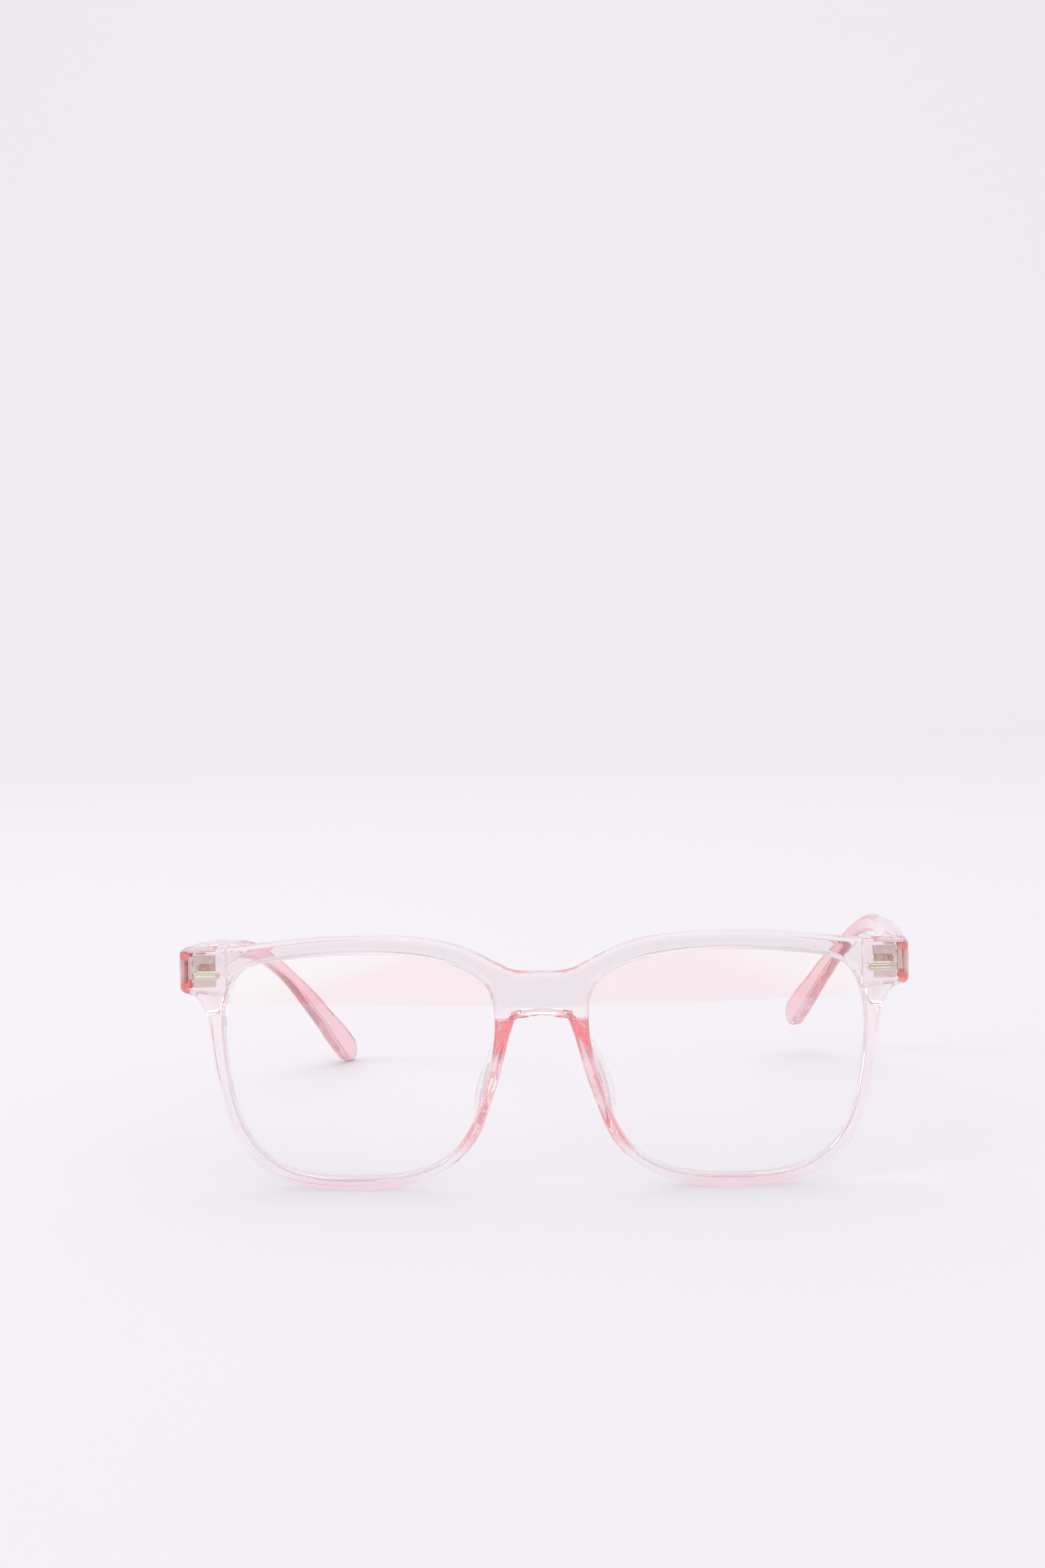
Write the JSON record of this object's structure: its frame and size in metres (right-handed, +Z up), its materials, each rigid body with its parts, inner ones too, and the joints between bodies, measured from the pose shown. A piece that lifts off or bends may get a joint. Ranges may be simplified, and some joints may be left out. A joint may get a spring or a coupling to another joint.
{
  "type": "blue light glasses",
  "caption": "Clear pink moulded glasses with a square front, saddle nose, flat filter lenses and folding temples on steel hinges.",
  "frame": {"origin": "middle of the bounding box in plan, on the surface that the open glasses stand on", "axes": "+X to the wearer's left, -Y out of the front of the lenses, +Z up"},
  "size_m": [0.1436, 0.1476, 0.05],
  "materials": {
    "frame_plastic": "clear pink moulded plastic, polished",
    "lens_plastic": "clear coated filter lens",
    "hinge_steel": "stamped and nickel-plated steel",
    "screw_steel": "turned steel",
    "trim_metal": "polished plated metal"
  },
  "bodies": {
    "front": {"front_frame": "frame_plastic", "lens_left": "lens_plastic", "lens_right": "lens_plastic", "front_hinge_left": "hinge_steel", "front_hinge_right": "hinge_steel", "hinge_screw_left": "screw_steel", "hinge_screw_right": "screw_steel", "front_trim_left": "trim_metal", "front_trim_right": "trim_metal"},
    "left_temple": {"temple_left": "frame_plastic", "temple_hinge_left": "hinge_steel"},
    "right_temple": {"temple_right": "frame_plastic", "temple_hinge_right": "hinge_steel"}
  },
  "joints": [
    {"name": "left_temple_fold", "type": "hinge", "parent": "front", "child": "left_temple", "pos_m": [0.0674, -0.05999, 0.043], "axis": [0, 0, 1], "range_deg": [0, 78]},
    {"name": "right_temple_fold", "type": "hinge", "parent": "front", "child": "right_temple", "pos_m": [-0.0674, -0.05999, 0.043], "axis": [0, 0, -1], "range_deg": [0, 84]}
  ]
}
